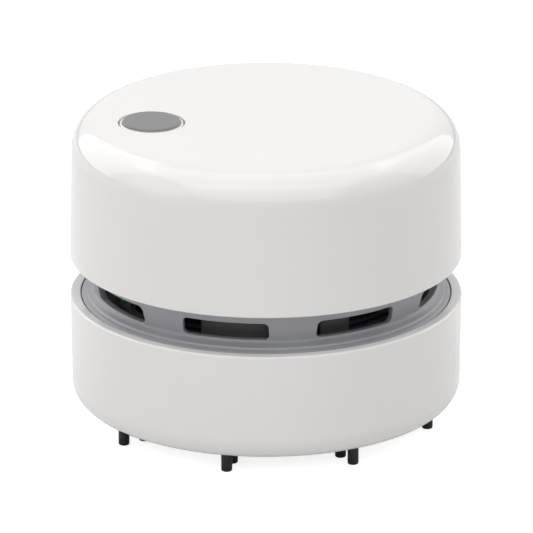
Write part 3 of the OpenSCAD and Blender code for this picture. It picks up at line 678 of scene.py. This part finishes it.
solder_tin = finish_of("solder_tin", (0.62, 0.62, 0.61), (0.5, 0.5, 0.5), 0.3, 0.08,
                       grain=2500, depth=1e-5, drift=800, metal=1.0)
as_piece("board_solder", solder, solder_tin, "motor_unit")
dress("switch_body", finish_of("switch_black", (0.025, 0.025, 0.026), (0.04, 0.04, 0.042), 0.5))
dress("switch_plunger", finish_of("plunger_red", (0.45, 0.06, 0.03), (0.5, 0.08, 0.04), 0.4))


# ---------------------------------------------------------------------------
# Upper shell
# The white ABS cap with a large rounded top edge, a plain mouth below and a round hole near its
# left side, ringed inside by a collar that guides the button. Six ribs inside stiffen its wall.

shell_z, ceiling_z, top_z, shell_t = 37.4, 66.6, 68.6, 2.0
flat_r, top_edge_r, top_round = 34.5, 42.046, 7.15
button_x, hole_r, collar_r, collar_z = -25.0, 7.25, 8.65, 64.4


def shell_surface(columns=256):
    """Closed surface through circles of centre x, radius r and height z. From the hole's edge to the
    rounded top edge, centre and radius slide together from the hole's circle to the body's."""
    body = rounded([(flat_r, top_z, 0), (top_edge_r, top_z, top_round), (body_r, shell_z, 0.45),
                    (body_r - shell_t, shell_z, 0.2), (40.075, ceiling_z, top_round - shell_t),
                    (flat_r, ceiling_z, 0)], 18)
    hole = rounded([(9.0, ceiling_z, 0), (collar_r, ceiling_z, 0.2), (collar_r, collar_z, 0.15),
                    (hole_r, collar_z, 0.15), (hole_r, top_z, 0.14), (7.7, top_z, 0)], 5)
    mouth = np.stack([np.full(len(hole), button_x), *hole.T], 1)
    outer = np.stack([np.zeros(len(body)), *body.T], 1)
    blend = np.linspace(0, 1, 9)[1:-1, None]
    top = mouth[-1] * (1 - blend) + outer[0] * blend
    ceiling = outer[-1] * (1 - blend) + mouth[0] * blend
    rows = np.concatenate([mouth, top, outer, ceiling])
    a = np.linspace(0, 2 * np.pi, columns, endpoint=False)
    x, r, z = rows[:, :1], rows[:, 1:2], rows[:, 2:]
    points = np.stack([x + r * np.cos(a), r * np.sin(a), z + 0 * a], -1)
    return points.reshape(-1, 3), grid_faces(len(rows), columns, True, True)


shell_ribs = [block((38.9, -rib_half, 41.2), (41.0, rib_half, 58.45), 0.2, 60 * k) for k in range(6)]
as_piece("white_cap", [shell_surface(), *shell_ribs], white_gloss, "shell", ["upper_shell"])


# ---------------------------------------------------------------------------
# Button
# A white push button with a rounded rim and a flange that the collar keeps in, and a thin round
# inlay in satin silver-grey set into its top.

button_r, button_z, button_top_z = 6.93, 63.6, top_z - 0.15
pocket_r, pocket_z, hollow_z = 6.4, 67.75, 66.55
stem_r, skirt_in_r, flange_edge_r = 2.0, 5.8, 8.2
button_outline = rounded([
    (0, button_z, 0), (stem_r, button_z, 0.1), (stem_r, hollow_z, 0), (skirt_in_r, hollow_z, 0),
    (skirt_in_r, button_z, 0.1), (flange_edge_r, button_z, 0.1), (flange_edge_r, collar_z, 0.1),
    (button_r, collar_z, 0), (button_r, button_top_z, 0.28), (pocket_r, button_top_z, 0.1),
    (pocket_r, pocket_z, 0), (0, pocket_z, 0)], 6)
as_piece("button_body", [turned(button_outline, 128, (button_x, 0))], white_gloss, "button",
         ["button_cap"])


def inlay_paint_and_lit_side():
    """Silver-grey paint with a fine grain. Down the disc's side, below a height of 68.8 mm, the colour
    turns
    lighter grey: painted light that brightens the side, which the lamps leave in shade."""
    material = finish_of("inlay_grey", (0.165, 0.165, 0.165), (0.20, 0.20, 0.20), 0.42, 0.04,
                         grain=7000, depth=1.2e-5, drift=2600, speck=0.3)
    tree = material.node_tree
    add, link = tree.nodes.new, tree.links.new
    where, apart, lit_side, tone = (add("ShaderNode" + kind) for kind in (
        "TexCoord", "SeparateXYZ", "MapRange", "Mix"))
    lit_side.inputs["From Min"].default_value, lit_side.inputs["From Max"].default_value = 0.0688, 0.0684
    link(where.outputs["Object"], apart.inputs[0])
    link(apart.outputs["Z"], lit_side.inputs["Value"])
    shader = tree.nodes["Principled BSDF"]
    tone.data_type = "RGBA"
    # painted light: lighter grey on the disc's side below 68.8 mm, standing in for light the side does not
    # get
    tone.inputs[7].default_value = (0.42, 0.42, 0.42, 1)
    link(lit_side.outputs["Result"], tone.inputs[0])
    link(shader.inputs["Base Color"].links[0].from_socket, tone.inputs[6])
    link(tone.outputs[2], shader.inputs["Base Color"])
    return material


inlay_grey = inlay_paint_and_lit_side()
inlay_r, inlay_top_z = 6.35, 69.0
inlay_outline = rounded([(0, pocket_z, 0), (inlay_r, pocket_z, 0),
                         (inlay_r, inlay_top_z, 0.42), (0, inlay_top_z, 0)], 8)
as_piece("button_disc", [turned(inlay_outline, 128, (button_x, 0))], inlay_grey, "button",
         ["button_inlay"])


# ---------------------------------------------------------------------------
# Studio
# A pale floor, five large soft lamps and a white surround. The camera stands far off with a long
# lens, 19.6 degrees above the table and a little to the button's side.

def studio_floor():
    """Flat sheet under the pins. The camera sees it near white, and darker where the object shades it.
    Gloss on the object mirrors it much darker, so that the object's edges stay visible."""
    half, seen_level, mirrored_level = 4, 0.8, 0.15
    mesh = bpy.data.meshes.new("floor")
    mesh.from_pydata([(-half, -half, 0), (half, -half, 0), (half, half, 0), (-half, half, 0)],
                     [], [(0, 1, 2, 3)])
    floor = bpy.data.objects.new("floor", mesh)
    bpy.context.scene.collection.objects.link(floor)
    material = bpy.data.materials.new("floor_pale")
    material.use_nodes = True
    tree = material.node_tree
    add, link = tree.nodes.new, tree.links.new
    shader = tree.nodes["Principled BSDF"]
    shader.inputs["Base Color"].default_value = (0.80, 0.80, 0.80, 1)
    shader.inputs["Roughness"].default_value = 0.9
    rays, seen, mirrored, strength = (add("ShaderNode" + kind) for kind in (
        "LightPath", "Math", "Math", "Math"))
    seen.operation, mirrored.operation, strength.operation = "MAXIMUM", "MULTIPLY", "MULTIPLY_ADD"
    link(rays.outputs["Is Camera Ray"], seen.inputs[0])
    link(rays.outputs["Is Transmission Ray"], seen.inputs[1])
    link(rays.outputs["Is Glossy Ray"], mirrored.inputs[0])
    mirrored.inputs[1].default_value = mirrored_level
    link(seen.outputs[0], strength.inputs[0])
    strength.inputs[1].default_value = seen_level
    link(mirrored.outputs[0], strength.inputs[2])
    shader.inputs["Emission Color"].default_value = (1, 1, 1, 1)
    link(strength.outputs[0], shader.inputs["Emission Strength"])
    mesh.materials.append(material)


studio_floor()

world = bpy.data.worlds.new("surround")
bpy.context.scene.world = world
world.use_nodes = True
tree = world.node_tree
back = tree.nodes["Background"]
back.inputs["Color"].default_value = (1, 1, 1, 1)
rays, seen, seen_too, level = (tree.nodes.new(kind) for kind in (
    "ShaderNodeLightPath", "ShaderNodeMath", "ShaderNodeMath", "ShaderNodeMapRange"))
seen.operation = seen_too.operation = "MAXIMUM"
tree.links.new(rays.outputs["Is Camera Ray"], seen.inputs[0])
tree.links.new(rays.outputs["Is Glossy Ray"], seen.inputs[1])
tree.links.new(seen.outputs[0], seen_too.inputs[0])
tree.links.new(rays.outputs["Is Transmission Ray"], seen_too.inputs[1])
level.inputs["To Min"].default_value, level.inputs["To Max"].default_value = 0.06, 1.0
tree.links.new(seen_too.outputs[0], level.inputs["Value"])
tree.links.new(level.outputs["Result"], back.inputs["Strength"])

# Directions as the camera has them, and its height above the table's plane and distance in metres.
view_turn, view_height, view_distance = math.radians(-8.9), math.radians(19.6), 3.0
right = np.array([math.cos(view_turn), math.sin(view_turn), 0])
towards = np.array([math.sin(view_turn), -math.cos(view_turn), 0])
up = np.array([0, 0, 1.0])


def aim(thing, place, target):
    """Puts a lamp or camera at place and points its -Z axis at target."""
    thing.location = place
    thing.rotation_euler = Vector(target - place).to_track_quat("-Z", "Y").to_euler()


def soft_lamp(name, place, size, power):
    """Rectangular lamp of the given width and height in metres, aimed at the object's middle."""
    data = bpy.data.lights.new(name, "AREA")
    data.shape = "RECTANGLE"
    data.size, data.size_y = size
    data.energy = power
    lamp = bpy.data.objects.new(name, data)
    bpy.context.scene.collection.objects.link(lamp)
    aim(lamp, place, np.array([0, 0, 0.035]))


soft_lamp("lamp_back_left", right * -0.62 - towards * 0.42 + up * 0.44, (0.80, 0.86), 3.0)
soft_lamp("lamp_back_right", right * 0.62 - towards * 0.42 + up * 0.44, (0.80, 0.86), 2.5)
soft_lamp("lamp_side_left", right * -0.75 + towards * 0.30 + up * 0.30, (0.6, 0.5), 0.6)
soft_lamp("lamp_high_front", towards * 0.76 + up * 0.82, (1.8, 1.1), 7.6)
soft_lamp("lamp_top", up * 1.0, (1.6, 1.2), 6.8)

camera_data = bpy.data.cameras.new("camera")
camera_data.sensor_width = 36
camera_data.lens = 934.5
camera_data.clip_start, camera_data.clip_end = 0.1, 50
camera = bpy.data.objects.new("camera", camera_data)
bpy.context.scene.collection.objects.link(camera)
target = up * 0.03415 + right * 0.0001
back_off = towards * math.cos(view_height) + up * math.sin(view_height)
aim(camera, target + view_distance * back_off, target)
bpy.context.scene.camera = camera
bpy.context.scene.view_settings.view_transform = "Standard"
